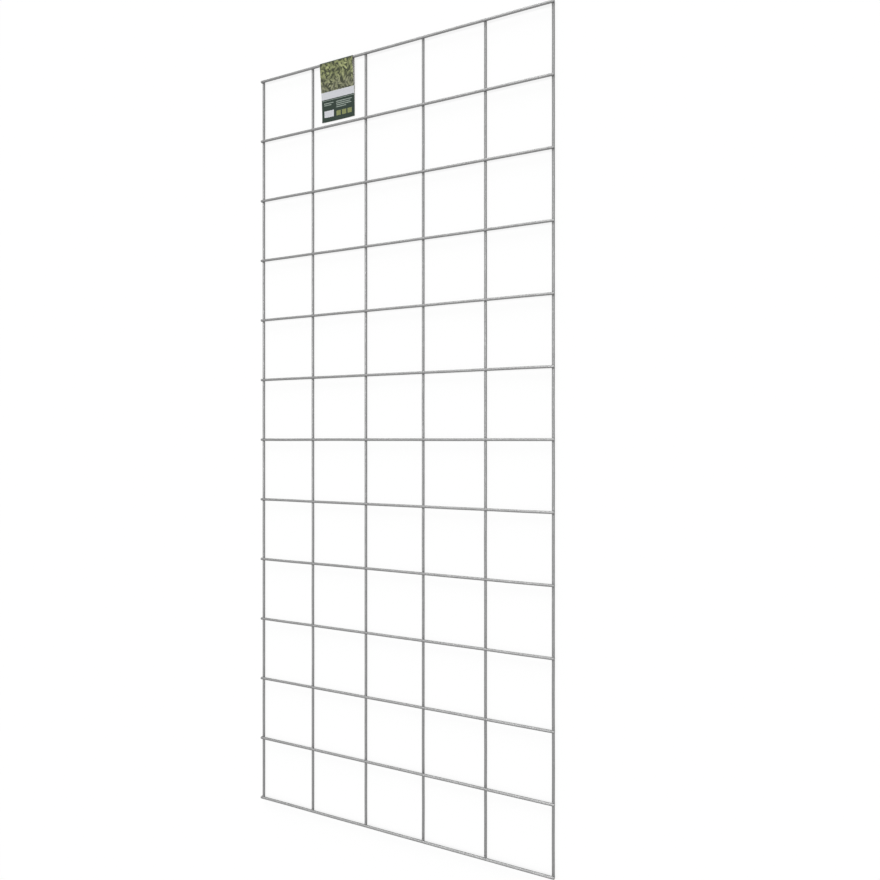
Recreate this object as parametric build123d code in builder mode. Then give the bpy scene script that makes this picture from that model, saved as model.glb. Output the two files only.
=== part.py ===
from build123d import *
import os

# Welded wire mesh panel: galvanised trellis mesh of square cells, with a folded card tag.
#
# The panel lies flat. Its long wires run along Y and rest on the floor, and its cross
# wires run along X on top of them. The wires are resistance welded at every crossing,
# so the whole grid is one piece of steel. The card is folded over the end cross wire,
# and its two leaves run down to the floor inside one cell, where they are glued together.
#
# Frame: origin on the floor at the middle of the panel, +X across the panel, +Y along
# it towards the end that carries the card, +Z up. Millimetres.

# Grid of wires, centre to centre
cell_width = 150.0
cell_length = 150.0
cells_across = 5
cells_along = 12

# Round wire, drawn with a few flat sides in place of the circle: a multiple of four,
# so that each wire lies on a flat
long_wire_diameter = 6.0
cross_wire_diameter = 6.0
wire_sides = 12

# Each weld forges the two wires this far into each other
weld_set_down = 0.8

# Each wire is sheared off this far past the outermost wire that it is welded to, and the
# edge of its end is broken
wire_end_overhang = 1.0
sheared_end_chamfer = 0.5

# Card tag: one strip of card, bent round the end cross wire in one column of cells, a little
# off the column's middle
card_column = 1
card_off_middle = -2.5
card_width = 92.0
card_drop = 136.0
card_thickness = 0.5
card_glued_length = 12.0

# The stiff card springs open into a loop, whose radius is larger by the slack than a tight
# turn's. The loop hangs with its inside on the wire's upper far side, within the clearance
card_loop_slack = 1.2
card_contact_angle = 30.0
card_wire_clearance = 0.3

# Places of the wires, worked out from the sizes above
panel_width = cells_across * cell_width
panel_length = cells_along * cell_length
long_wire_height = long_wire_diameter / 2
cross_wire_height = long_wire_diameter - weld_set_down + cross_wire_diameter / 2
long_wire_length = panel_length + cross_wire_diameter + 2 * wire_end_overhang
cross_wire_length = panel_width + long_wire_diameter + 2 * wire_end_overhang

# Places of the card, worked out from the end wire that it hangs on
end_wire_y = panel_length / 2
card_middle_x = (card_column - (cells_across - 1) / 2) * cell_width + card_off_middle
card_bottom_y = end_wire_y - card_drop
glue_line_y = card_bottom_y + card_glued_length
loop_inner_radius = cross_wire_diameter / 2 + card_wire_clearance + card_loop_slack
loop_outer_radius = loop_inner_radius + card_thickness
to_contact = Vector(card_loop_slack, 0).rotate(Axis.Z, card_contact_angle)
loop_middle = Vector(end_wire_y, cross_wire_height) - to_contact

# Which of the two tangents from a point to the loop is wanted
lowest = 0
highest = -1


def straight_wire(section_plane, diameter, length):
    """One wire, centred on the origin and square to its section plane, with its ends broken."""
    with BuildPart() as wire:
        with BuildSketch(section_plane):
            RegularPolygon(diameter / 2, wire_sides, major_radius=False, rotation=180 / wire_sides)
        extrude(amount=length / 2, both=True)
        end_faces = wire.faces().filter_by(section_plane)
        chamfer(end_faces.edges(), length=sheared_end_chamfer)
    return wire.part


def leaf_face(start, loop_radius, which):
    """One straight face of a leaf, from where it leaves the loop round the wire to its start."""
    loop = CenterArc(loop_middle, loop_radius, 0, 360, mode=Mode.PRIVATE)
    return ConstrainedLines(loop, start, selector=lambda lines: lines.sort_by(Axis.Y)[which])


def loop_tip(loop_radius):
    """The point of the loop that is furthest from the leaves."""
    return loop_middle + Vector(loop_radius, 0)


# The welded grid
long_wire = straight_wire(Plane.XZ, long_wire_diameter, long_wire_length)
cross_wire = straight_wire(Plane.YZ, cross_wire_diameter, cross_wire_length)

with BuildPart() as wire_mesh:
    with Locations((0, 0, long_wire_height)):
        with GridLocations(cell_width, cell_length, cells_across + 1, 1):
            add(long_wire)
    with Locations((0, 0, cross_wire_height)):
        with GridLocations(cell_width, cell_length, 1, cells_along + 1):
            add(cross_wire)

# The card tag, drawn from the side and pulled out to its width
with BuildPart() as label_card:
    with BuildSketch(Plane.YZ.offset(card_middle_x)):
        # Outside: under leaf, loop, upper leaf and the glued edge that lies on the floor
        with BuildLine():
            under = leaf_face((glue_line_y, 0), loop_outer_radius, lowest)
            upper = leaf_face((glue_line_y, 2 * card_thickness), loop_outer_radius, highest)
            ThreePointArc(under @ 0, loop_tip(loop_outer_radius), upper @ 0)
            Polyline(
                upper @ 1,
                (card_bottom_y, 2 * card_thickness),
                (card_bottom_y, 0),
                under @ 1,
            )
        make_face()
        # Inside: the wedge between the leaves, which opens into the loop
        with BuildLine():
            under = leaf_face((glue_line_y, card_thickness), loop_inner_radius, lowest)
            upper = leaf_face((glue_line_y, card_thickness), loop_inner_radius, highest)
            ThreePointArc(under @ 0, loop_tip(loop_inner_radius), upper @ 0)
        make_face(mode=Mode.SUBTRACT)
    extrude(amount=card_width / 2, both=True)

# Write each piece
wire_mesh.part.label = "wire_mesh"
label_card.part.label = "label_card"
os.makedirs("parts", exist_ok=True)
export_step(wire_mesh.part, "parts/wire_mesh.step")
export_step(label_card.part, "parts/label_card.step")
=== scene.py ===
"""Looks of the welded wire mesh panel: a sheet of galvanised wire mesh with a folded card tag.

The panel lies flat on the floor, with its long wires along Y, its cross wires along X on
top of them, and the card folded over the cross wire at the +Y end. Sizes are in metres.
"""

import math
import random

import bmesh
import bpy
import numpy as np
from bpy.props import FloatProperty, FloatVectorProperty, IntProperty, PointerProperty
from bpy.types import Operator, Panel, PropertyGroup
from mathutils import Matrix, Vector, noise


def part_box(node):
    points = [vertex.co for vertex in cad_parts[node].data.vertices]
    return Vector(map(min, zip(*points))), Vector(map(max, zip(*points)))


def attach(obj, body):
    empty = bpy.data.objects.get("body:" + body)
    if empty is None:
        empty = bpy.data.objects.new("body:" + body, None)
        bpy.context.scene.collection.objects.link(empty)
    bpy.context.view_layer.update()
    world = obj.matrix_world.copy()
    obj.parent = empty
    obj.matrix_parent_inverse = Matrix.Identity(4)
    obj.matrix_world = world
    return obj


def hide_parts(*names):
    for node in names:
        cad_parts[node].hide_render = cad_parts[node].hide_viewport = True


bl_info = {
    "name": "Welded Wire Mesh Panel",
    "version": (1, 0, 0),
    "blender": (4, 5, 0),
    "location": "3D View > Sidebar > Mesh Panel",
    "description": "Adds a galvanised welded wire mesh panel, its folded card tag and a stage",
    "category": "Add Mesh",
}

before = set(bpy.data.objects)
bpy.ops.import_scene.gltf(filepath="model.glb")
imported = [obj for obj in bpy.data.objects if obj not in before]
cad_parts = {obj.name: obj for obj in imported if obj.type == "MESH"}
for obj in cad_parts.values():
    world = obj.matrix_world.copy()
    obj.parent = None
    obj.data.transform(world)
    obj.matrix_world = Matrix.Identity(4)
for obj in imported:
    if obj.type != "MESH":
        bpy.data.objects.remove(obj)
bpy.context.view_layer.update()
mesh_low, mesh_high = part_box("wire_mesh")
card_low, card_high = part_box("label_card")

MM = 0.001
SEED = 7
SHARP_ANGLE = math.radians(40)


# Sizes and colours that a user would change

def count_setting(name, description, default, least):
    """A whole number."""
    return IntProperty(name=name, description=description, default=default, min=least)


def length_setting(name, description, default, precision=4):
    """A length in metres."""
    return FloatProperty(
        name=name, description=description, default=default, precision=precision, unit="LENGTH"
    )


def angle_setting(name, description, degrees):
    """An angle, given in degrees and kept in radians."""
    return FloatProperty(
        name=name, description=description, default=math.radians(degrees), subtype="ANGLE"
    )


def colour_setting(name, description, red, green, blue):
    """A colour in linear light."""
    return FloatVectorProperty(
        name=name, description=description, default=(red, green, blue, 1),
        subtype="COLOR", size=4, min=0, max=1,
    )


def direction_setting(name, description, default):
    """A way to look or to shine from."""
    return FloatVectorProperty(
        name=name, description=description, default=default, subtype="DIRECTION", size=3
    )


class WireSettings(PropertyGroup):
    long_wires: count_setting("Long wires", "Wires that run along the panel", 6, least=2)
    cross_wires: count_setting("Cross wires", "Wires that run across the panel", 13, least=2)
    sides: count_setting("Sides", "Points round each ring of a wire", 20, least=8)
    diameter: length_setting("Wire diameter", "Diameter of the round wire", 6 * MM)
    end_overhang: length_setting(
        "End overhang", "How far a wire runs past the outermost wire that it is welded to", 1 * MM
    )
    waviness: length_setting(
        "Waviness", "How far a wire strays from a straight line between two welds",
        0.25 * MM, precision=5,
    )


class WeldSettings(PropertyGroup):
    fillet: length_setting(
        "Zinc fillet", "How widely the zinc rounds off the corner between two wires", 3.4 * MM
    )
    electrode_mark: length_setting(
        "Electrode mark", "Depth of the flat that the welding electrode leaves on a wire",
        0.3 * MM, precision=5,
    )
    electrode_length: length_setting(
        "Electrode length", "Reach of the electrode's flat along the wire", 3.5 * MM
    )
    # Reach of the shade painted round each weld, where the crossing wires shade one another
    weld_shade_reach: length_setting(
        "Painted shade reach", "How far the painted shade spreads from the middle of a weld", 7 * MM
    )


class ZincSettings(PropertyGroup):
    bright: colour_setting("Bright zinc", "Colour of the clean zinc", 0.30, 0.30, 0.30)
    dull: colour_setting("Dull zinc", "Colour of the zinc where it has gone dull", 0.21, 0.21, 0.21)
    # Colour of the shade painted round each weld, where the crossing wires shade one another
    weld_shade: colour_setting("Painted weld shade", "Colour of the shade painted round each weld", 0.18, 0.18, 0.18)
    spangle: length_setting("Spangle", "Size of the zinc's crystals", 2 * MM)


class CardSettings(PropertyGroup):
    thickness: length_setting("Card thickness", "Thickness of the card", 0.5 * MM, precision=5)
    wire_clearance: length_setting(
        "Wire clearance", "Room between the card and the wire where the loop hangs on it",
        0.3 * MM, precision=5,
    )
    loop_slack: length_setting(
        "Loop slack", "How much larger the radius of the card's loop is than a tight turn's",
        1.2 * MM, precision=5,
    )
    corner_lift: length_setting(
        "Corner lift", "How far the two corners at the card's foot curl up from the floor", 1.2 * MM
    )
    glued_length: length_setting(
        "Glued length", "Length over which the two leaves are glued together", 12 * MM
    )
    foliage: colour_setting("Foliage", "Main green of the printed leaves", 0.21, 0.235, 0.095)
    foliage_light: colour_setting(
        "Foliage light", "Lightest green of the printed leaves", 0.42, 0.45, 0.22
    )
    foliage_shade: colour_setting(
        "Foliage shade", "Darkest green between the printed leaves", 0.045, 0.052, 0.028
    )
    foliage_grey: colour_setting(
        "Foliage grey", "Grey green of the leaves low on the picture", 0.23, 0.225, 0.17
    )
    band: colour_setting("Band", "Colour of the pale band", 0.58, 0.59, 0.62)
    field: colour_setting("Field", "Dark green of the lower field", 0.020, 0.036, 0.026)
    mark: colour_setting(
        "Marks", "Colour of the rules and swatches on the dark field", 0.30, 0.35, 0.31
    )
    raw: colour_setting("Raw card", "Colour of the card where it isn't printed", 0.74, 0.73, 0.69)


class StageSettings(PropertyGroup):
    focal_length: FloatProperty(
        name="Focal length", description="Focal length on a 36 mm sensor",
        default=28.34, unit="CAMERA",
    )
    camera_tilt: angle_setting(
        "Camera tilt", "How far the camera leans across the panel from straight down", 25.34
    )
    camera_across: length_setting("Camera across", "Camera's place across the panel", 0.7747)
    camera_along: length_setting("Camera along", "Camera's place along the panel", -0.0009)
    camera_height: length_setting("Camera height", "Camera's height over the floor", 1.3925)
    floor_size: length_setting("Floor size", "Width of the square floor", 24.0)
    floor_glow: FloatProperty(
        name="Floor glow",
        description="How far the floor is white by itself where it is seen: 1 hides the shadow",
        default=0.8, min=0, max=1,
    )
    sky_strength: FloatProperty(
        name="Sky strength", description="Light of the even white surroundings", default=0.55
    )
    key_strength: FloatProperty(
        name="Key strength",
        description="Light of the soft lamp beyond the card's end, in watts a square metre",
        default=1.8,
    )
    key_direction: direction_setting(
        "Key direction", "Way from the panel to the lamp beyond the card's end",
        (-0.15, 0.97, 0.22),
    )
    key_softness: angle_setting(
        "Key softness", "How wide the lamp beyond the card's end looks from the panel", 40
    )
    top_strength: FloatProperty(
        name="Top strength",
        description="Light of the soft lamp overhead, in watts a square metre",
        default=1.25,
    )
    top_direction: direction_setting(
        "Top direction", "Way from the panel to the lamp overhead", (-0.05, 0.15, 0.98)
    )
    top_softness: angle_setting(
        "Top softness", "How wide the lamp overhead looks from the panel", 25
    )


# Node helpers

def add_node(tree, kind, fields=None, inputs=None):
    """A new node with its fields set, and each input fed by a socket or set to a value."""
    node = tree.nodes.new(kind)
    for field, value in (fields or {}).items():
        setattr(node, field, value)
    for name, value in (inputs or {}).items():
        if isinstance(value, bpy.types.NodeSocket):
            tree.links.new(value, node.inputs[name])
        else:
            node.inputs[name].default_value = value
    return node


def calc(tree, operation, a, b=0.0, clamp=False):
    """The result of one step of arithmetic on sockets or numbers."""
    fields = {"operation": operation, "use_clamp": clamp}
    return add_node(tree, "ShaderNodeMath", fields, {0: a, 1: b}).outputs[0]


def vector_calc(tree, operation, a, b):
    """The result of one step of arithmetic on vectors."""
    fields = {"operation": operation}
    return add_node(tree, "ShaderNodeVectorMath", fields, {0: a, 1: b}).outputs[0]


def split_vector(tree, vector):
    """The X, Y and Z of a vector."""
    return add_node(tree, "ShaderNodeSeparateXYZ", None, {0: vector}).outputs


def split_colour(tree, colour):
    """The red, green and blue of a colour."""
    return add_node(tree, "ShaderNodeSeparateColor", None, {0: colour}).outputs


def blend_colours(tree, factor, a, b):
    """A colour that goes from a to b as factor goes from 0 to 1."""
    return add_node(
        tree, "ShaderNodeMix", {"data_type": "RGBA"}, {0: factor, 6: a, 7: b}
    ).outputs[2]


def remap(tree, value, from_low, from_high, to_low=0.0, to_high=1.0, smooth=False):
    """The value moved from one range to another and held inside it."""
    fields = {"interpolation_type": "SMOOTHSTEP" if smooth else "LINEAR", "clamp": True}
    inputs = {
        "Value": value,
        "From Min": from_low,
        "From Max": from_high,
        "To Min": to_low,
        "To Max": to_high,
    }
    return add_node(tree, "ShaderNodeMapRange", fields, inputs).outputs["Result"]


def position(tree):
    """The point that is shaded, in the panel's own frame."""
    return tree.nodes.new("ShaderNodeTexCoord").outputs["Object"]


def seen_rays(tree):
    """1 for rays from the camera and for reflections and see-through, and 0 for the rest."""
    ray = tree.nodes.new("ShaderNodeLightPath").outputs
    seen = calc(tree, "MAXIMUM", ray["Is Camera Ray"], ray["Is Glossy Ray"])
    return calc(tree, "MAXIMUM", seen, ray["Is Transmission Ray"])


def new_group(name, inputs, outputs):
    """An empty shader group with these named sockets: its tree, its inputs and its output node."""
    tree = bpy.data.node_groups.new(name, "ShaderNodeTree")
    for label, kind, default in inputs:
        socket = tree.interface.new_socket(label, in_out="INPUT", socket_type=kind)
        socket.default_value = default
    for label, kind in outputs:
        tree.interface.new_socket(label, in_out="OUTPUT", socket_type=kind)
    source = tree.nodes.new("NodeGroupInput").outputs
    return tree, source, tree.nodes.new("NodeGroupOutput")


def shared_group(name, make):
    """The shader group of this name, made the first time that it is asked for."""
    return bpy.data.node_groups.get(name) or make(name)


def place_group(tree, group, inputs):
    """A group placed in a tree, with its inputs fed: its outputs."""
    return add_node(tree, "ShaderNodeGroup", {"node_tree": group}, inputs).outputs


def empty_tree(owner):
    """The node tree of a material or a world, with nothing in it."""
    owner.use_nodes = True
    owner.node_tree.nodes.clear()
    return owner.node_tree


def new_material(name, metallic, specular=0.5, rim=1.0):
    """A material with a Principled shader: the material, its tree and the shader. The rim is how
    bright a metal's reflection is near its outline."""
    material = bpy.data.materials.new(name)
    tree = empty_tree(material)
    shader = add_node(tree, "ShaderNodeBsdfPrincipled", None, {
        "Metallic": metallic,
        "Specular IOR Level": specular,
        "Specular Tint": (rim, rim, rim, 1),
    })
    output = tree.nodes.new("ShaderNodeOutputMaterial")
    tree.links.new(shader.outputs["BSDF"], output.inputs["Surface"])
    return material, tree, shader


def feed_shader(tree, shader, colour, roughness, height, relief):
    """Colour, roughness and a height that becomes relief, in metres, all into the shader."""
    tree.links.new(colour, shader.inputs["Base Color"])
    tree.links.new(roughness, shader.inputs["Roughness"])
    bump = add_node(tree, "ShaderNodeBump", None, {
        "Strength": 1.0,
        "Distance": relief,
        "Height": height,
    })
    tree.links.new(bump.outputs["Normal"], shader.inputs["Normal"])


# Shader groups

def make_mottle_group(name):
    """Uneven tone in soft patches with fine grain over it, as on zinc, paper and card."""
    tree, given, output = new_group(
        name,
        [
            ("Position", "NodeSocketVector", (0, 0, 0)),
            ("Patch Size", "NodeSocketFloat", 0.03),
            ("Grain Size", "NodeSocketFloat", 0.001),
            ("Grain Stretch", "NodeSocketVector", (1, 1, 1)),
        ],
        [("Patches", "NodeSocketFloat"), ("Grain", "NodeSocketFloat")],
    )
    patches = add_node(tree, "ShaderNodeTexNoise", None, {
        "Vector": given["Position"],
        "Scale": calc(tree, "DIVIDE", 1.0, given["Patch Size"]),
        "Detail": 3.0,
        "Roughness": 0.6,
    }).outputs[0]
    grain = add_node(tree, "ShaderNodeTexNoise", None, {
        "Vector": vector_calc(tree, "MULTIPLY", given["Position"], given["Grain Stretch"]),
        "Scale": calc(tree, "DIVIDE", 1.0, given["Grain Size"]),
        "Detail": 2.0,
        "Roughness": 0.7,
    }).outputs[0]
    tree.links.new(remap(tree, patches, 0.3, 0.7, smooth=True), output.inputs["Patches"])
    tree.links.new(grain, output.inputs["Grain"])
    return tree


def make_weld_group(name):
    """How near a point is to the middle of a weld: 1 there, and 0 beyond the reach."""
    tree, given, output = new_group(
        name,
        [
            ("Position", "NodeSocketVector", (0, 0, 0)),
            ("First Weld", "NodeSocketVector", (0, 0, 0)),
            ("Pitch", "NodeSocketVector", (0.15, 0.15, 1)),
            ("Reach", "NodeSocketFloat", 0.007),
        ],
        [("Nearness", "NodeSocketFloat")],
    )
    # Full out to this share of the reach
    full_share = 0.35
    from_first = vector_calc(tree, "SUBTRACT", given["Position"], given["First Weld"])
    half_pitch = vector_calc(tree, "MULTIPLY", given["Pitch"], (0.5, 0.5, 0.5))
    wrapped = add_node(tree, "ShaderNodeVectorMath", {"operation": "WRAP"}, {
        0: vector_calc(tree, "ADD", from_first, half_pitch),
        1: given["Pitch"],
        2: (0, 0, 0),
    }).outputs[0]
    offset = vector_calc(tree, "SUBTRACT", wrapped, half_pitch)
    distance = add_node(tree, "ShaderNodeVectorMath", {"operation": "LENGTH"}, {
        0: vector_calc(tree, "MULTIPLY", offset, (1, 1, 0)),
    }).outputs["Value"]
    share = calc(tree, "DIVIDE", distance, given["Reach"])
    nearness = remap(tree, share, full_share, 1.0, 1.0, 0.0, smooth=True)
    tree.links.new(nearness, output.inputs["Nearness"])
    return tree


def make_zinc_group(name):
    """Hot-dip zinc: crystals of uneven tone, dull patches, fine lines along the wire, and painted
    shade round the welds in streaks.
    """
    tree, given, output = new_group(
        name,
        [
            ("Position", "NodeSocketVector", (0, 0, 0)),
            ("Line Stretch", "NodeSocketVector", (1, 1, 1)),
            ("Spangle Size", "NodeSocketFloat", 0.002),
            ("Bright", "NodeSocketColor", (0.30, 0.30, 0.30, 1)),
            ("Dull", "NodeSocketColor", (0.21, 0.21, 0.21, 1)),
            ("Weld Shade", "NodeSocketColor", (0.18, 0.18, 0.18, 1)),
            ("Weld Shade Amount", "NodeSocketFloat", 0.0),
        ],
        [
            ("Color", "NodeSocketColor"),
            ("Roughness", "NodeSocketFloat"),
            ("Height", "NodeSocketFloat"),
        ],
    )
    patch_weight, crystal_weight, grain_weight = 0.2, 0.35, 0.4
    clean_roughness, dull_roughness = 0.36, 0.58
    roughness_from_weld_shade = 0.12
    least_weld_shade_tone = 0.7
    crystal_relief = 0.4

    uneven = place_group(tree, shared_group("Mottle", make_mottle_group), {
        "Position": given["Position"],
        "Patch Size": 35 * MM,
        "Grain Size": 0.7 * MM,
        "Grain Stretch": given["Line Stretch"],
    })
    crystals = add_node(tree, "ShaderNodeTexVoronoi", {"feature": "F1"}, {
        "Vector": given["Position"],
        "Scale": calc(tree, "DIVIDE", 1.0, given["Spangle Size"]),
        "Randomness": 1.0,
    }).outputs
    crystal_tone = split_colour(tree, crystals["Color"])[0]

    dulling = calc(tree, "MULTIPLY", uneven["Patches"], patch_weight)
    from_crystals = calc(tree, "MULTIPLY", crystal_tone, crystal_weight)
    dulling = calc(tree, "ADD", dulling, from_crystals)
    from_grain = calc(tree, "MULTIPLY", uneven["Grain"], grain_weight)
    dulling = calc(tree, "ADD", dulling, from_grain, clamp=True)
    zinc = blend_colours(tree, dulling, given["Bright"], given["Dull"])

    # Painted shade round each weld, where the crossing wires shade one another: darker and rougher
    # zinc in streaks along the grain
    streaks = remap(tree, uneven["Grain"], 0.2, 0.6, least_weld_shade_tone, 1.0)
    weld_shade_amount = calc(tree, "MULTIPLY", given["Weld Shade Amount"], streaks)
    colour = blend_colours(tree, weld_shade_amount, zinc, given["Weld Shade"])
    tree.links.new(colour, output.inputs["Color"])

    roughness = remap(tree, dulling, 0.0, 1.0, clean_roughness, dull_roughness)
    from_weld_shade = calc(tree, "MULTIPLY", weld_shade_amount, roughness_from_weld_shade)
    roughness = calc(tree, "ADD", roughness, from_weld_shade, clamp=True)
    tree.links.new(roughness, output.inputs["Roughness"])

    domes = calc(tree, "MULTIPLY", crystals["Distance"], crystal_relief)
    tree.links.new(calc(tree, "ADD", uneven["Grain"], domes), output.inputs["Height"])
    return tree


def make_block_group(name):
    """A plain printed block: 1 inside the rectangle and 0 outside, with crisp edges."""
    tree, given, output = new_group(
        name,
        [
            ("Print Place", "NodeSocketVector", (0, 0, 0)),
            ("Left", "NodeSocketFloat", 0.0),
            ("Right", "NodeSocketFloat", 1.0),
            ("Top", "NodeSocketFloat", 0.0),
            ("Bottom", "NodeSocketFloat", 1.0),
        ],
        [("Mask", "NodeSocketFloat")],
    )
    place = split_vector(tree, given["Print Place"])
    mask = calc(tree, "GREATER_THAN", place["X"], given["Left"])
    for inside in (
        calc(tree, "LESS_THAN", place["X"], given["Right"]),
        calc(tree, "GREATER_THAN", place["Y"], given["Top"]),
        calc(tree, "LESS_THAN", place["Y"], given["Bottom"]),
    ):
        mask = calc(tree, "MULTIPLY", mask, inside)
    tree.links.new(mask, output.inputs["Mask"])
    return tree


def make_leaf_group(name):
    """Printed leaves, one to a cell: each is pointed at both ends, turned its own way, with a rib
    along its middle and one half lighter than the other."""
    tree, given, output = new_group(
        name,
        [
            ("Position", "NodeSocketVector", (0, 0, 0)),
            ("Offset", "NodeSocketVector", (0, 0, 0)),
            ("Leaf Length", "NodeSocketFloat", 0.013),
            ("Leaf Width", "NodeSocketFloat", 0.4),
        ],
        [("Leaf", "NodeSocketFloat"), ("Tone", "NodeSocketFloat")],
    )
    # A leaf ends where the square of the way along it, in cells, reaches this
    half_length_squared = 0.36
    bulge = 1.4
    own_tone_weight, lit_half_tone, rib_tone = 0.6, 0.22, 0.25
    rib_inner, rib_outer = 0.012, 0.024

    place = vector_calc(tree, "ADD", given["Position"], given["Offset"])
    density = calc(tree, "DIVIDE", 1.0, given["Leaf Length"])
    cells = add_node(tree, "ShaderNodeTexVoronoi", {"voronoi_dimensions": "2D", "feature": "F1"}, {
        "Vector": place,
        "Scale": density,
        "Randomness": 0.85,
    }).outputs
    own = split_colour(tree, cells["Color"])
    from_middle = add_node(tree, "ShaderNodeVectorMath", {"operation": "SCALE"}, {
        0: vector_calc(tree, "SUBTRACT", place, cells["Position"]),
        "Scale": density,
    }).outputs[0]
    turned = add_node(tree, "ShaderNodeVectorRotate", {"rotation_type": "Z_AXIS"}, {
        "Vector": from_middle,
        "Angle": calc(tree, "MULTIPLY", own[0], 2 * math.pi),
    }).outputs[0]
    along, aside = split_vector(tree, turned)[:2]

    off_rib = calc(tree, "ABSOLUTE", aside)
    squared = calc(tree, "MULTIPLY", along, along)
    taper = calc(tree, "SUBTRACT", half_length_squared, squared)
    half_width = calc(tree, "MULTIPLY", calc(tree, "MULTIPLY", given["Leaf Width"], bulge), taper)
    tree.links.new(calc(tree, "LESS_THAN", off_rib, half_width), output.inputs["Leaf"])

    lit_half = calc(tree, "MULTIPLY", calc(tree, "GREATER_THAN", aside, 0.0), lit_half_tone)
    rib = remap(tree, off_rib, rib_inner, rib_outer, rib_tone, 0.0)
    own_tone = calc(tree, "MULTIPLY", own[1], own_tone_weight)
    tone = calc(tree, "ADD", own_tone, calc(tree, "MAXIMUM", lit_half, rib))
    tree.links.new(tone, output.inputs["Tone"])
    return tree


# Materials

def make_zinc_material(name, line_stretch, weld_shade_share, grid, look, welds):
    """Galvanised wire whose drawing lines run the way that line_stretch is small, and which takes
    this share of the shade painted round each weld, where the crossing wires shade one another."""
    material, tree, shader = new_material(name, metallic=0.9, rim=0.5)
    here = position(tree)
    # Painted shade of the crossing wires round each weld: 1 at the middle of a weld and 0 beyond
    # its reach
    weld_shade_amount = place_group(tree, shared_group("Weld Nearness", make_weld_group), {
        "Position": here,
        "First Weld": grid.first_weld,
        "Pitch": grid.pitch,
        "Reach": welds.weld_shade_reach,
    })["Nearness"]
    zinc = place_group(tree, shared_group("Hot Dip Zinc", make_zinc_group), {
        "Position": here,
        "Line Stretch": line_stretch,
        "Spangle Size": look.spangle,
        "Bright": look.bright,
        "Dull": look.dull,
        "Weld Shade": look.weld_shade,
        "Weld Shade Amount": calc(tree, "MULTIPLY", weld_shade_amount, weld_shade_share),
    })
    feed_shader(tree, shader, zinc["Color"], zinc["Roughness"], zinc["Height"], relief=0.05 * MM)
    return material


def make_raw_card_material(card):
    """Unprinted card: pale board with a soft fibre."""
    material, tree, shader = new_material("tag_raw_board", metallic=0.0, specular=0.2)
    shade_share = 0.9
    fibre = place_group(tree, shared_group("Mottle", make_mottle_group), {
        "Position": position(tree),
        "Patch Size": 20 * MM,
        "Grain Size": 0.4 * MM,
        "Grain Stretch": (1, 0.4, 1),
    })
    shade = [shade_share * c for c in card.raw[:3]] + [1]
    shading = calc(tree, "MULTIPLY", fibre["Grain"], fibre["Patches"])
    colour = blend_colours(tree, shading, card.raw, shade)
    roughness = remap(tree, fibre["Grain"], 0.0, 1.0, 0.7, 0.9)
    feed_shader(tree, shader, colour, roughness, fibre["Grain"], relief=0.03 * MM)
    return material


def print_place(tree):
    """Place on the print: X from 0 at its left to 1 at its right, Y from 0 at the fold to 1 at
    the foot."""
    size_x, size_y = card_high.x - card_low.x, card_high.y - card_low.y
    from_corner = vector_calc(tree, "SUBTRACT", position(tree), (card_low.x, card_high.y, 0))
    return vector_calc(tree, "MULTIPLY", from_corner, (1 / size_x, -1 / size_y, 0))


def leaf_picture(tree, patches, down, card):
    """Layers of leaves over a dark ground, lighter towards the top one, greyer towards the foot."""
    grey_from, grey_to, greyest = 0.16, 0.44, 0.8
    dimming, light_loss = 0.55, 0.7
    leaf_width = 0.4
    deepest_shade = 0.45

    low = remap(tree, down, grey_from, grey_to, 0.0, greyest, smooth=True)
    green = blend_colours(tree, low, card.foliage, card.foliage_grey)
    dim_green = blend_colours(tree, dimming, green, card.foliage_shade)
    low_light = calc(tree, "MULTIPLY", low, light_loss)
    light_green = blend_colours(tree, low_light, card.foliage_light, green)
    leaves = shared_group("Printed Leaves", make_leaf_group)
    picture = card.foliage_shade
    # Each layer, from the lowest up: length of a leaf, shift, and its darkest and lightest green
    for length, offset, dark, light in (
        (0.0130, (0.000, 0.000, 0), card.foliage_shade, dim_green),
        (0.0112, (0.013, 0.007, 0), dim_green, green),
        (0.0142, (0.029, 0.017, 0), dim_green, light_green),
        (0.0108, (0.041, 0.037, 0), green, light_green),
    ):
        layer = place_group(tree, leaves, {
            "Position": position(tree),
            "Offset": offset,
            "Leaf Length": length,
            "Leaf Width": leaf_width,
        })
        colour = blend_colours(tree, layer["Tone"], dark, light)
        picture = blend_colours(tree, layer["Leaf"], picture, colour)
    clump = remap(tree, patches, 0.25, 0.75, deepest_shade, 0.0)
    return blend_colours(tree, clump, picture, card.foliage_shade)


def print_blocks(tree, place, ground, blocks):
    """The ground colour with plain printed blocks over it, each a colour with a left, right, top
    and foot as shares of the leaf. A block may run off the leaf."""
    block_group = shared_group("Printed Block", make_block_group)
    printed = ground
    for colour, left, right, top, foot in blocks:
        mask = place_group(tree, block_group, {
            "Print Place": place,
            "Left": left,
            "Right": right,
            "Top": top,
            "Bottom": foot,
        })["Mask"]
        printed = blend_colours(tree, mask, printed, colour)
    return printed


def make_print_material(name, card, draw):
    """Satin printed card. The draw function lays out one leaf, from the place on it to a colour."""
    material, tree, shader = new_material(name, metallic=0.0, specular=0.2)
    paper = place_group(tree, shared_group("Mottle", make_mottle_group), {
        "Position": position(tree),
        "Patch Size": 14 * MM,
        "Grain Size": 0.5 * MM,
    })
    printed = draw(tree, print_place(tree), paper["Patches"], card)
    roughness = remap(tree, paper["Grain"], 0.0, 1.0, 0.45, 0.6)
    feed_shader(tree, shader, printed, roughness, paper["Grain"], relief=0.015 * MM)
    return material


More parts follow.
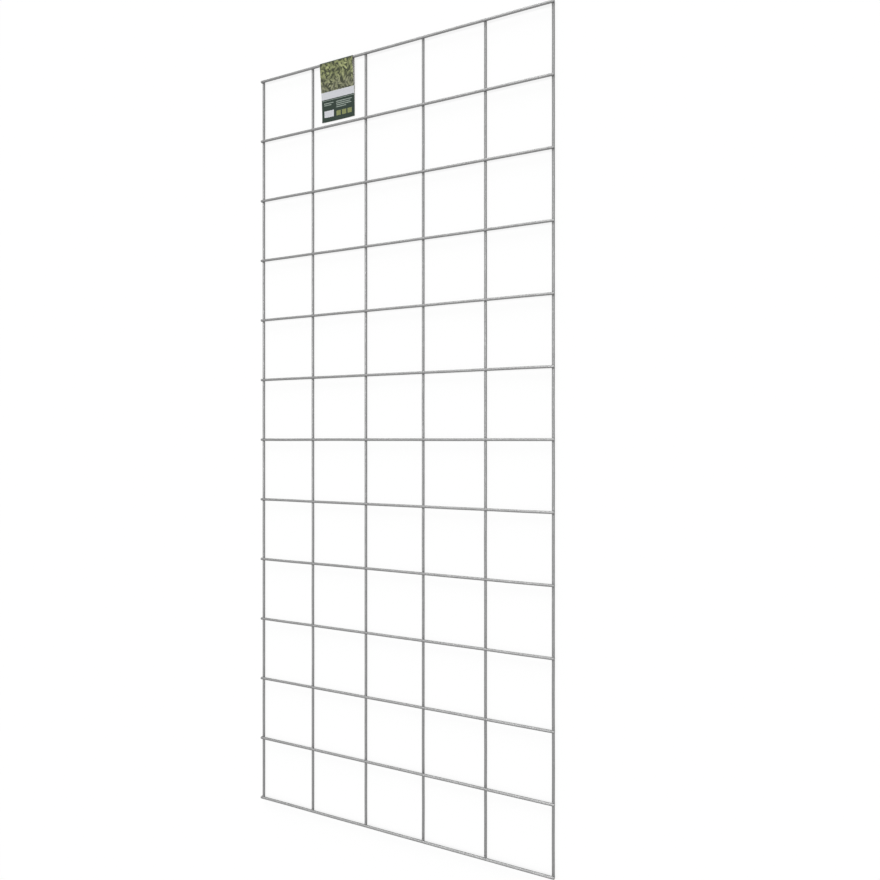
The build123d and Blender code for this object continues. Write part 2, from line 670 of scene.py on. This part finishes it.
def draw_front(tree, place, patches, card):
    """Front leaf: a picture of leaves, a level pale band and a dark field with plain marks."""
    picture = leaf_picture(tree, patches, split_vector(tree, place)["Y"], card)
    # These run off the leaf at both sides
    off_left, off_right, off_top, off_foot = -1.0, 2.0, -1.0, 2.0
    header_foot = 0.03
    band_top, field_top = 0.50, 0.62
    fields = [
        (card.field, off_left, off_right, off_top, header_foot),
        (card.band, off_left, off_right, band_top, field_top),
        (card.field, off_left, off_right, field_top, off_foot),
        (card.mark, off_left, off_right, 0.635, 0.642),
    ]
    pale_box = (card.band, 0.07, 0.36, 0.81, 0.92)
    rule_height = 0.013
    rules = [
        (card.mark, left, left + length, top, top + rule_height)
        for left, top, length in (
            (0.07, 0.68, 0.29),
            (0.07, 0.71, 0.22),
            (0.44, 0.68, 0.48),
            (0.44, 0.71, 0.43),
            (0.44, 0.74, 0.46),
            (0.44, 0.77, 0.30),
        )
    ]
    swatch_width = 0.13
    swatches = [
        (card.foliage, left, left + swatch_width, 0.84, 0.92) for left in (0.44, 0.61, 0.78)
    ]
    return print_blocks(tree, place, picture, [*fields, pale_box, *rules, *swatches])


def draw_back(tree, place, patches, card):
    """Back leaf: a dark field with a pale panel, and plain rules and a green strip on it. It has
    no patches: they belong to the picture."""
    panel = (card.band, 0.08, 0.92, 0.10, 0.92)
    left, right = 0.14, 0.86
    rule_top, rule_foot, rule_step = 0.16, 0.172, 0.045
    rules = [
        (card.mark, left, right, rule_top + rule_step * i, rule_foot + rule_step * i)
        for i in range(9)
    ]
    strip = (card.foliage, left, right, 0.62, 0.86)
    return print_blocks(tree, place, card.field, [panel, *rules, strip])


# Mesh helpers

def mesh_object(name, points, faces, slots, materials):
    """An object made of these points and faces, each face in its own material slot and turned
    to the outside."""
    mesh = bpy.data.meshes.new(name)
    mesh.from_pydata(points, [], faces)
    shell = bmesh.new()
    shell.from_mesh(mesh)
    bmesh.ops.recalc_face_normals(shell, faces=shell.faces)
    shell.to_mesh(mesh)
    shell.free()
    for material in materials:
        mesh.materials.append(material)
    for face, slot in zip(mesh.polygons, slots):
        face.material_index = slot
    made = bpy.data.objects.new(name, mesh)
    bpy.context.scene.collection.objects.link(made)
    return made


def joined_object(name, parts, slot, materials):
    """One object made of several lists of points and faces, all in one of its material slots."""
    points, faces = [], []
    for part_points, part_faces in parts:
        shift = len(points)
        points += part_points
        faces += [tuple(i + shift for i in face) for face in part_faces]
    return mesh_object(name, points, faces, [slot] * len(faces), materials)


def apply_union(base, others):
    """Fuses the other objects into the base, so that the wires and the zinc are one skin."""
    for other in others:
        union = base.modifiers.new("fuse", "BOOLEAN")
        union.operation = "UNION"
        union.solver = "MANIFOLD"
        union.object = other
    depsgraph = bpy.context.evaluated_depsgraph_get()
    fused = bpy.data.meshes.new_from_object(base.evaluated_get(depsgraph))
    base.modifiers.clear()
    base.data = fused
    for other in others:
        bpy.data.objects.remove(other)


def shade(piece):
    """Smooth shading, apart from real edges."""
    piece.data.shade_smooth()
    piece.data.set_sharp_from_angle(angle=SHARP_ANGLE)


# The wires

class Grid:
    """Where the wires lie: their centre lines, their heights and the welds between them."""

    def __init__(self, wires):
        self.radius = wires.diameter / 2
        margin = self.radius + wires.end_overhang
        self.xs = np.linspace(mesh_low.x + margin, mesh_high.x - margin, wires.long_wires)
        self.ys = np.linspace(mesh_low.y + margin, mesh_high.y - margin, wires.cross_wires)
        self.long_z = mesh_low.z + self.radius
        self.cross_z = mesh_high.z - self.radius
        self.first_weld = (self.xs[0], self.ys[0], 0)
        self.pitch = (self.xs[1] - self.xs[0], self.ys[1] - self.ys[0], 1)


def ring_places(start, end, welds):
    """Distances along a wire where its surface gets a ring: at its ends, at its welds and on the
    runs between them."""
    from_end = np.array([0.0, 0.15, 0.4, 0.8]) * MM
    from_weld = np.array([0.0, 0.9, 1.8, 2.7, 3.8, 5.2, 7.5, 11.0]) * MM
    rings_on_run = 6
    places = [start + from_end, end - from_end]
    for weld in welds:
        places += [weld - from_weld, weld + from_weld]
    for first, second in zip(welds[:-1], welds[1:]):
        places.append(np.linspace(first, second, rings_on_run + 2)[1:-1])
    places = np.sort(np.concatenate(places))
    places = places[(places >= start) & (places <= end)]
    apart = 0.1 * MM
    return places[np.concatenate([[True], np.diff(places) > apart])]


def sheared_end(distance_to_end):
    """The share of its radius that the wire has this far from its end, where the shear rounds
    it off."""
    rounding = 0.8 * MM
    at_end, regained = 0.84, 0.16
    share = np.clip(distance_to_end / rounding, 0, 1)
    return at_end + regained * np.sqrt(1 - (1 - share) ** 2)


def wire_skin(start, end, welds, outer, to_world, wires, weld_settings, rng):
    """Points and faces of one wire. It runs along its own first axis, and outer is 1 where its
    outer side, the one that the electrode presses, faces up and -1 where it faces down."""
    sides, step = wires.sides, 2 * math.pi / wires.sides
    # A ring encloses as much as the round wire does, and lies on one of its flat sides
    radius = wires.diameter / 2 * math.sqrt(step / math.sin(step))
    places = ring_places(start, end, welds)
    angles = step * (np.arange(sides) + 0.5)
    cosines, sines = np.cos(angles), np.sin(angles)
    nearest = np.min(np.abs(places[:, None] - welds[None, :]), axis=1)
    pressed = np.exp(-((nearest / weld_settings.electrode_length) ** 2))
    closing = sheared_end(np.minimum(places - start, end - places))

    # Between two welds the wire strays a little to one side
    pitch = welds[1] - welds[0]
    strays = [rng.uniform(-1, 1) * wires.waviness for _ in welds]
    span = np.clip(((places - welds[0]) // pitch).astype(int), 0, len(welds) - 1)
    stray = np.array(strays)[span] * np.sin(math.pi * (places - welds[0]) / pitch) ** 2

    # The zinc is a little lumpy, as a share of the radius
    lump_depth = 0.012
    lumps_along, lumps_round = 90, 1.3
    seed = rng.uniform(0, 100)
    points = []
    for place, close, press, aside in zip(places, closing, pressed, stray):
        for c, s in zip(cosines, sines):
            spot = Vector((place * lumps_along, c * lumps_round + seed, s * lumps_round))
            r = radius * close * (1 - lump_depth * (0.5 + 0.5 * noise.noise(spot)))
            side, up = r * c, r * s
            flat = radius * close - weld_settings.electrode_mark * press
            if up * outer > flat:
                up = flat * outer
            points.append(to_world(place, side + aside, up))
    faces = []
    for ring in range(len(places) - 1):
        for k in range(sides):
            a, b = ring * sides + k, ring * sides + (k + 1) % sides
            faces.append((a, b, b + sides, a + sides))
    faces.append(tuple(range(sides))[::-1])
    faces.append(tuple(range((len(places) - 1) * sides, len(places) * sides)))
    return points, faces


def fillet_points(centre, grid, blend, directions):
    """The zinc that fills the corners of one weld: in each direction, how far it comes out."""
    inset = 0.25 * MM
    end_margin = 0.5 * MM
    furthest = 1.7 * grid.radius
    halvings = 24

    def depth(points):
        """Distance out of the two wires, smoothly joined."""
        long_side = np.hypot(points[:, 0], points[:, 2] - grid.long_z) - grid.radius
        cross_side = np.hypot(points[:, 1], points[:, 2] - grid.cross_z) - grid.radius
        overlap = np.maximum(blend - np.abs(long_side - cross_side), 0) / blend
        return np.minimum(long_side, cross_side) - overlap**2 * blend / 4

    low, high = np.zeros(len(directions)), np.full(len(directions), furthest)
    middle_z = (grid.long_z + grid.cross_z) / 2
    for _ in range(halvings):
        middle = (low + high) / 2
        points = directions * middle[:, None]
        points[:, 2] += middle_z
        outside = depth(points) > -inset
        high = np.where(outside, middle, high)
        low = np.where(outside, low, middle)
    points = directions * low[:, None] + (*centre, middle_z)
    points[:, 0] = points[:, 0].clip(mesh_low.x + end_margin, mesh_high.x - end_margin)
    points[:, 1] = points[:, 1].clip(mesh_low.y + end_margin, mesh_high.y - end_margin)
    return [tuple(p) for p in points]


def ball_grid(columns, rows):
    """Directions all round a point, and the faces that join them."""
    directions, faces = [(0.0, 0.0, 1.0)], []
    for row in range(1, rows):
        tilt = math.pi * row / rows
        for column in range(columns):
            turn = 2 * math.pi * (column + 0.5) / columns
            directions.append((
                math.sin(tilt) * math.cos(turn), math.sin(tilt) * math.sin(turn), math.cos(tilt)
            ))
    directions.append((0.0, 0.0, -1.0))
    last = len(directions) - 1
    for column in range(columns):
        after = (column + 1) % columns
        faces.append((0, 1 + column, 1 + after))
        foot = 1 + (rows - 2) * columns
        faces.append((last, foot + after, foot + column))
        for row in range(rows - 2):
            a, b = 1 + row * columns + column, 1 + row * columns + after
            faces.append((a, a + columns, b + columns, b))
    return np.array(directions), faces


def build_wires(scene):
    """The welded grid as one piece of round galvanised wire."""
    wires, welds = scene.panel_wires, scene.panel_welds
    grid = Grid(wires)
    rng = random.Random(SEED)
    # How much shorter the shears may leave a wire at each end, in millimetres
    longest_trim = 0.4
    smallest_fillet, largest_fillet = 0.8, 1.2

    def wires_one_way(centres, start, end, crossed, outer, place):
        """The wires that run one way, each sheared a little short of its full length."""
        parts = []
        for centre in centres:
            trim = [rng.uniform(0, longest_trim) * MM for _ in range(2)]
            parts.append(wire_skin(
                start + trim[0], end - trim[1], crossed, outer, place(centre), wires, welds, rng
            ))
        return parts

    def place_long(x):
        return lambda along, side, up: (x + side, along, grid.long_z + up)

    def place_cross(y):
        return lambda along, side, up: (along, y + side, grid.cross_z + up)

    long_parts = wires_one_way(grid.xs, mesh_low.y, mesh_high.y, grid.ys, -1, place_long)
    cross_parts = wires_one_way(grid.ys, mesh_low.x, mesh_high.x, grid.xs, 1, place_cross)
    directions, faces = ball_grid(columns=36, rows=18)
    fillets = []
    for x in grid.xs:
        for y in grid.ys:
            blend = welds.fillet * rng.uniform(smallest_fillet, largest_fillet)
            fillets.append((fillet_points((x, y), grid, blend, directions), faces))

    # Each material: its name, how its drawing lines are stretched, and its share of the shade
    # painted round each weld
    materials = [
        make_zinc_material(name, line_stretch, weld_shade_share, grid, scene.panel_zinc, welds)
        for name, line_stretch, weld_shade_share in (
            ("galvanised_long_wire", (1, 0.03, 1), 0.7),
            ("galvanised_cross_wire", (0.03, 1, 1), 0.1),
            ("galvanised_weld", (1, 1, 1), 0.5),
        )
    ]
    piece = joined_object("welded_wires", long_parts, 0, materials)
    cross = joined_object("cross_wires", cross_parts, 1, materials)
    zinc_fillets = joined_object("zinc_fillets", fillets, 2, materials)
    apply_union(piece, [cross, zinc_fillets])
    shade(piece)
    return piece


# The card tag

def leaf_curve(start, end, start_slope, end_slope, count):
    """Points of one leaf in the Y-Z plane, leaving start and reaching end at the given slopes."""
    share = np.linspace(0, 1, count)
    run = end[0] - start[0]
    y = start[0] + run * share
    rise = (
        (2 * share**3 - 3 * share**2 + 1) * start[1]
        + (share**3 - 2 * share**2 + share) * run * start_slope
        + (3 * share**2 - 2 * share**3) * end[1]
        + (share**3 - share**2) * run * end_slope
    )
    return list(zip(y, rise))


def card_line(wire_radius, card):
    """The middle of the card's thickness, seen from the side: under leaf, loop and upper leaf."""
    glue_steps, leaf_steps, loop_steps = 5, 24, 22
    glue_gap = 0.01 * MM
    # A leaf leaves the glued foot at this share of the slope at which it reaches the loop
    foot_slope = 0.4

    half = card.thickness / 2
    loop_radius = wire_radius + card.wire_clearance + card.loop_slack + half
    # The loop reaches the end and the top of the card's box
    loop_y = card_high.y - half - loop_radius
    loop_z = card_high.z - half - loop_radius
    foot_y = card_low.y
    glue_y = foot_y + card.glued_length
    under_z, upper_z = half, 3 * half + glue_gap
    tangents = []
    for z, side in ((under_z, -1), (upper_z, 1)):
        reach = math.hypot(loop_y - glue_y, loop_z - z)
        to_loop = math.atan2(loop_z - z, loop_y - glue_y)
        tangents.append(to_loop + side * math.asin(loop_radius / reach))
    under_turn, upper_turn = tangents[0] - math.pi / 2, tangents[1] + math.pi / 2

    def on_loop(turn):
        return (loop_y + loop_radius * math.cos(turn), loop_z + loop_radius * math.sin(turn))

    def leaf(z, turn, tangent):
        slope = math.tan(tangent)
        return leaf_curve((glue_y, z), on_loop(turn), foot_slope * slope, slope, leaf_steps)

    glued = np.linspace(foot_y, glue_y, glue_steps)[:-1]
    under = [(y, under_z) for y in glued] + leaf(under_z, under_turn, tangents[0])
    loop = [on_loop(t) for t in np.linspace(under_turn, upper_turn, loop_steps)[1:-1]]
    upper = [(y, upper_z) for y in glued] + leaf(upper_z, upper_turn, tangents[1])
    return np.array(under + loop + upper[::-1])


def card_skin(line, card):
    """Points, faces and material slots of the card: the front print on its upper leaf, the back
    print on its under leaf, and bare board inside and along its edges."""
    front, back, raw = 0, 1, 2
    columns = 24
    # The foot's corners curl up less and less towards the fold, the faster the larger this is
    curl_fade = 1.3

    along = np.gradient(line, axis=0)
    along /= np.linalg.norm(along, axis=1)[:, None]
    outward = np.stack([along[:, 1], -along[:, 0]], axis=1)
    half = card.thickness / 2
    xs = np.linspace(card_low.x, card_high.x, columns + 1)
    from_middle = np.abs(np.linspace(-1, 1, columns + 1))

    def curl(y):
        """How far each point of the row at y is lifted, most at the two corners of the foot."""
        to_fold = (y - card_low.y) / (card_high.y - card_low.y)
        return card.corner_lift * from_middle**3 * max(1 - curl_fade * to_fold, 0) ** 2

    middle_row = len(line) // 2
    points, faces, slots = [], [], []
    for side in (1, -1):
        for (y, z), (out_y, out_z) in zip(line, outward):
            face_y, face_z = y + side * half * out_y, z + side * half * out_z
            points += [(x, face_y, face_z + lift) for x, lift in zip(xs, curl(y))]
    row, sheet = columns + 1, len(line) * (columns + 1)
    for i in range(len(line) - 1):
        for j in range(columns):
            a = i * row + j
            faces.append((a, a + 1, a + 1 + row, a + row))
            slots.append(back if i < middle_row else front)
            faces.append((a + sheet, a + row + sheet, a + 1 + row + sheet, a + 1 + sheet))
            slots.append(raw)
        for j in (0, columns):
            a = i * row + j
            faces.append((a, a + row, a + row + sheet, a + sheet))
            slots.append(raw)
    for i in (0, len(line) - 1):
        for j in range(columns):
            a = i * row + j
            faces.append((a, a + sheet, a + 1 + sheet, a + 1))
            slots.append(raw)
    return points, faces, slots


def build_card(scene):
    """The printed card, folded over the end wire and glued to itself along its foot."""
    card = scene.panel_card
    line = card_line(scene.panel_wires.diameter / 2, card)
    materials = [
        make_print_material("tag_front", card, draw_front),
        make_print_material("tag_back", card, draw_back),
        make_raw_card_material(card),
    ]
    piece = mesh_object("card_tag", *card_skin(line, card), materials)
    shade(piece)
    return piece


# The stage

def make_floor_material(glow_share):
    """White floor: even white to the eye and in reflections, with the object's shadow kept."""
    floor_white = 0.95
    material = bpy.data.materials.new("studio_floor")
    tree = empty_tree(material)
    diffuse = add_node(tree, "ShaderNodeBsdfDiffuse", None, {
        "Color": (floor_white, floor_white, floor_white, 1),
    })
    glow = add_node(tree, "ShaderNodeEmission", None, {"Color": (1, 1, 1, 1), "Strength": 1.0})
    mix = add_node(tree, "ShaderNodeMixShader", None, {
        0: calc(tree, "MULTIPLY", seen_rays(tree), glow_share),
        1: diffuse.outputs[0],
        2: glow.outputs[0],
    })
    output = tree.nodes.new("ShaderNodeOutputMaterial")
    tree.links.new(mix.outputs[0], output.inputs["Surface"])
    return material


def make_world(strength):
    """Even white surroundings, plain white where they are seen."""
    world = bpy.data.worlds.new("studio")
    tree = empty_tree(world)
    background = add_node(tree, "ShaderNodeBackground", None, {
        "Color": (1, 1, 1, 1),
        "Strength": remap(tree, seen_rays(tree), 0.0, 1.0, strength, 1.0),
    })
    output = tree.nodes.new("ShaderNodeOutputWorld")
    tree.links.new(background.outputs[0], output.inputs["Surface"])
    return world


def add_lamp(name, towards, strength, softness):
    """A broad soft lamp, far off in one direction, so that it lights the whole floor evenly. Only
    its turn counts: it stands off by shown_distance to be easy to pick."""
    shown_distance = 3
    light = bpy.data.lights.new(name, "SUN")
    light.energy = strength
    light.angle = softness
    lamp = bpy.data.objects.new(name, light)
    lamp.location = Vector(towards) * shown_distance
    lamp.rotation_euler = Vector(towards).to_track_quat("Z", "Y").to_euler()
    bpy.context.scene.collection.objects.link(lamp)


def build_stage(scene):
    """Camera over the panel, white floor, two soft lamps and white surroundings."""
    stage = scene.panel_stage
    camera = bpy.data.objects.new("camera", bpy.data.cameras.new("camera"))
    camera.data.sensor_width = 36.0
    camera.data.lens = stage.focal_length
    camera.data.clip_end = 100.0
    camera.location = (stage.camera_across, stage.camera_along, stage.camera_height)
    camera.rotation_euler = (0.0, stage.camera_tilt, 0.0)
    scene.collection.objects.link(camera)
    scene.camera = camera

    half = stage.floor_size / 2
    corners = [(x * half, y * half, 0) for x, y in ((-1, -1), (1, -1), (1, 1), (-1, 1))]
    mesh = bpy.data.meshes.new("floor")
    mesh.from_pydata(corners, [], [(0, 1, 2, 3)])
    mesh.materials.append(make_floor_material(stage.floor_glow))
    floor = bpy.data.objects.new("floor", mesh)
    scene.collection.objects.link(floor)

    scene.world = make_world(stage.sky_strength)
    add_lamp("key_lamp", stage.key_direction, stage.key_strength, stage.key_softness)
    add_lamp("top_lamp", stage.top_direction, stage.top_strength, stage.top_softness)
    scene.view_settings.view_transform = "Standard"


# Operators, panel and registration

class MESHPANEL_OT_wires(Operator):
    """Add the welded grid of galvanised wire"""

    bl_idname = "mesh_panel.add_wires"
    bl_label = "Add Welded Wires"
    bl_options = {"REGISTER", "UNDO"}

    def execute(self, context):
        piece = build_wires(context.scene)
        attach(piece, "root")
        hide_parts("wire_mesh")
        return {"FINISHED"}


class MESHPANEL_OT_card(Operator):
    """Add the printed card folded over the end wire"""

    bl_idname = "mesh_panel.add_card"
    bl_label = "Add Card Tag"
    bl_options = {"REGISTER", "UNDO"}

    def execute(self, context):
        piece = build_card(context.scene)
        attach(piece, "root")
        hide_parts("label_card")
        return {"FINISHED"}


class MESHPANEL_OT_stage(Operator):
    """Add the floor, the lights and the camera"""

    bl_idname = "mesh_panel.add_stage"
    bl_label = "Add Stage"
    bl_options = {"REGISTER", "UNDO"}

    def execute(self, context):
        build_stage(context.scene)
        return {"FINISHED"}


class MESHPANEL_PT_sidebar(Panel):
    """The panel's settings and its operators"""

    bl_label = "Welded Wire Mesh Panel"
    bl_space_type = "VIEW_3D"
    bl_region_type = "UI"
    bl_category = "Mesh Panel"

    def draw(self, context):
        for group, names, operator in (
            ("panel_wires", ("diameter", "sides", "waviness"), MESHPANEL_OT_wires),
            ("panel_welds", ("fillet", "electrode_mark", "weld_shade_reach"), None),
            ("panel_zinc", ("bright", "dull", "weld_shade", "spangle"), None),
            ("panel_card", ("thickness", "foliage", "band", "field", "raw"), MESHPANEL_OT_card),
            ("panel_stage", ("focal_length", "sky_strength", "key_strength", "top_strength"),
             MESHPANEL_OT_stage),
        ):
            column = self.layout.column(align=True)
            for name in names:
                column.prop(getattr(context.scene, group), name)
            if operator:
                column.operator(operator.bl_idname)


SETTINGS = {
    "panel_wires": WireSettings,
    "panel_welds": WeldSettings,
    "panel_zinc": ZincSettings,
    "panel_card": CardSettings,
    "panel_stage": StageSettings,
}
CLASSES = (
    *SETTINGS.values(),
    MESHPANEL_OT_wires,
    MESHPANEL_OT_card,
    MESHPANEL_OT_stage,
    MESHPANEL_PT_sidebar,
)


def register():
    for cls in CLASSES:
        bpy.utils.register_class(cls)
    for name, settings in SETTINGS.items():
        setattr(bpy.types.Scene, name, PointerProperty(type=settings))


def unregister():
    for name in SETTINGS:
        delattr(bpy.types.Scene, name)
    for cls in reversed(CLASSES):
        bpy.utils.unregister_class(cls)


def main():
    """Registers the add-on and builds the whole scene: stage, wires and card."""
    register()
    bpy.ops.mesh_panel.add_stage()
    bpy.ops.mesh_panel.add_wires()
    bpy.ops.mesh_panel.add_card()


if __name__ == "__main__":
    main()
